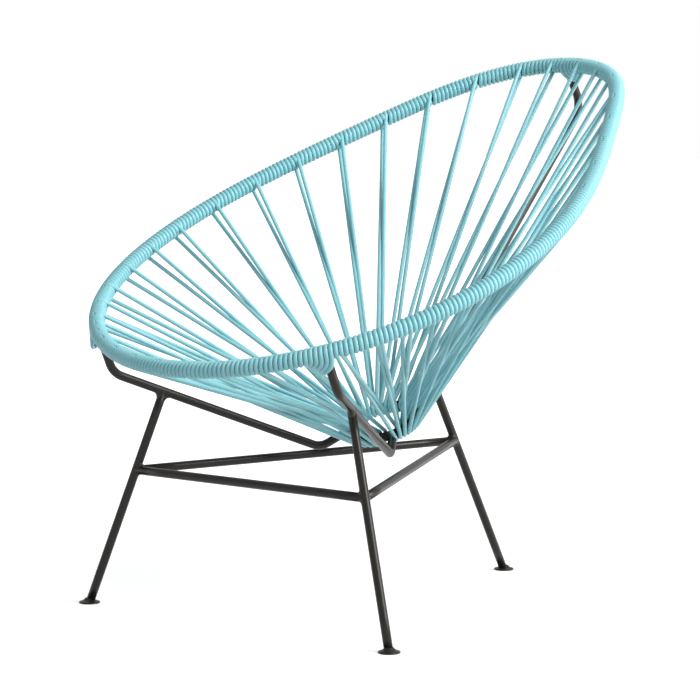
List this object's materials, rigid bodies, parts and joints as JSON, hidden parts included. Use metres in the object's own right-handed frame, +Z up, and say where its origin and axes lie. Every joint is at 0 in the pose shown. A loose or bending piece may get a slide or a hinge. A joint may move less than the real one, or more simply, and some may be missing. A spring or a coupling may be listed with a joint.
{
  "type": "acapulco chair",
  "caption": "Low lounge chair with an egg-shaped hoop wrapped in round cord, cord strung down to a small ring to form a bowl seat, and a welded rod frame on splayed legs with flat feet.",
  "frame": {"origin": "middle of the footprint's bounding box, on the floor", "axes": "+Z up, the seat's open front faces -Y, +X is the sitter's left"},
  "size_m": [0.7226, 0.9408, 0.7964],
  "materials": {
    "powder_coat": "satin powder coat, near black",
    "pvc_cord": "smooth round cord, pale aqua"
  },
  "bodies": {
    "root": {"seat_hoop": "powder_coat", "bottom_ring": "powder_coat", "arm_left": "powder_coat", "arm_right": "powder_coat", "arm_rear": "powder_coat", "leg_left": "powder_coat", "foot_left": "powder_coat", "leg_right": "powder_coat", "foot_right": "powder_coat", "leg_rear": "powder_coat", "foot_rear": "powder_coat", "stretcher_front": "powder_coat", "stretcher_left": "powder_coat", "stretcher_right": "powder_coat", "rim_wrap_front": "pvc_cord", "rim_wrap_left": "pvc_cord", "rim_wrap_right": "pvc_cord", "strand_left_01": "pvc_cord", "strand_left_02": "pvc_cord", "strand_left_03": "pvc_cord", "strand_left_04": "pvc_cord", "strand_left_05": "pvc_cord", "strand_left_06": "pvc_cord", "strand_left_07": "pvc_cord", "strand_left_08": "pvc_cord", "strand_left_09": "pvc_cord", "strand_left_10": "pvc_cord", "strand_left_11": "pvc_cord", "strand_left_12": "pvc_cord", "strand_left_13": "pvc_cord", "strand_left_14": "pvc_cord", "strand_left_15": "pvc_cord", "strand_left_16": "pvc_cord", "strand_right_01": "pvc_cord", "strand_right_02": "pvc_cord", "strand_right_03": "pvc_cord", "strand_right_04": "pvc_cord", "strand_right_05": "pvc_cord", "strand_right_06": "pvc_cord", "strand_right_07": "pvc_cord", "strand_right_08": "pvc_cord", "strand_right_09": "pvc_cord", "strand_right_10": "pvc_cord", "strand_right_11": "pvc_cord", "strand_right_12": "pvc_cord", "strand_right_13": "pvc_cord", "strand_right_14": "pvc_cord", "strand_right_15": "pvc_cord", "strand_right_16": "pvc_cord", "strand_front_01": "pvc_cord", "strand_front_02": "pvc_cord", "strand_front_03": "pvc_cord", "strand_front_04": "pvc_cord", "strand_front_05": "pvc_cord", "strand_front_06": "pvc_cord", "strand_front_07": "pvc_cord", "strand_front_08": "pvc_cord"}
  },
  "joints": []
}
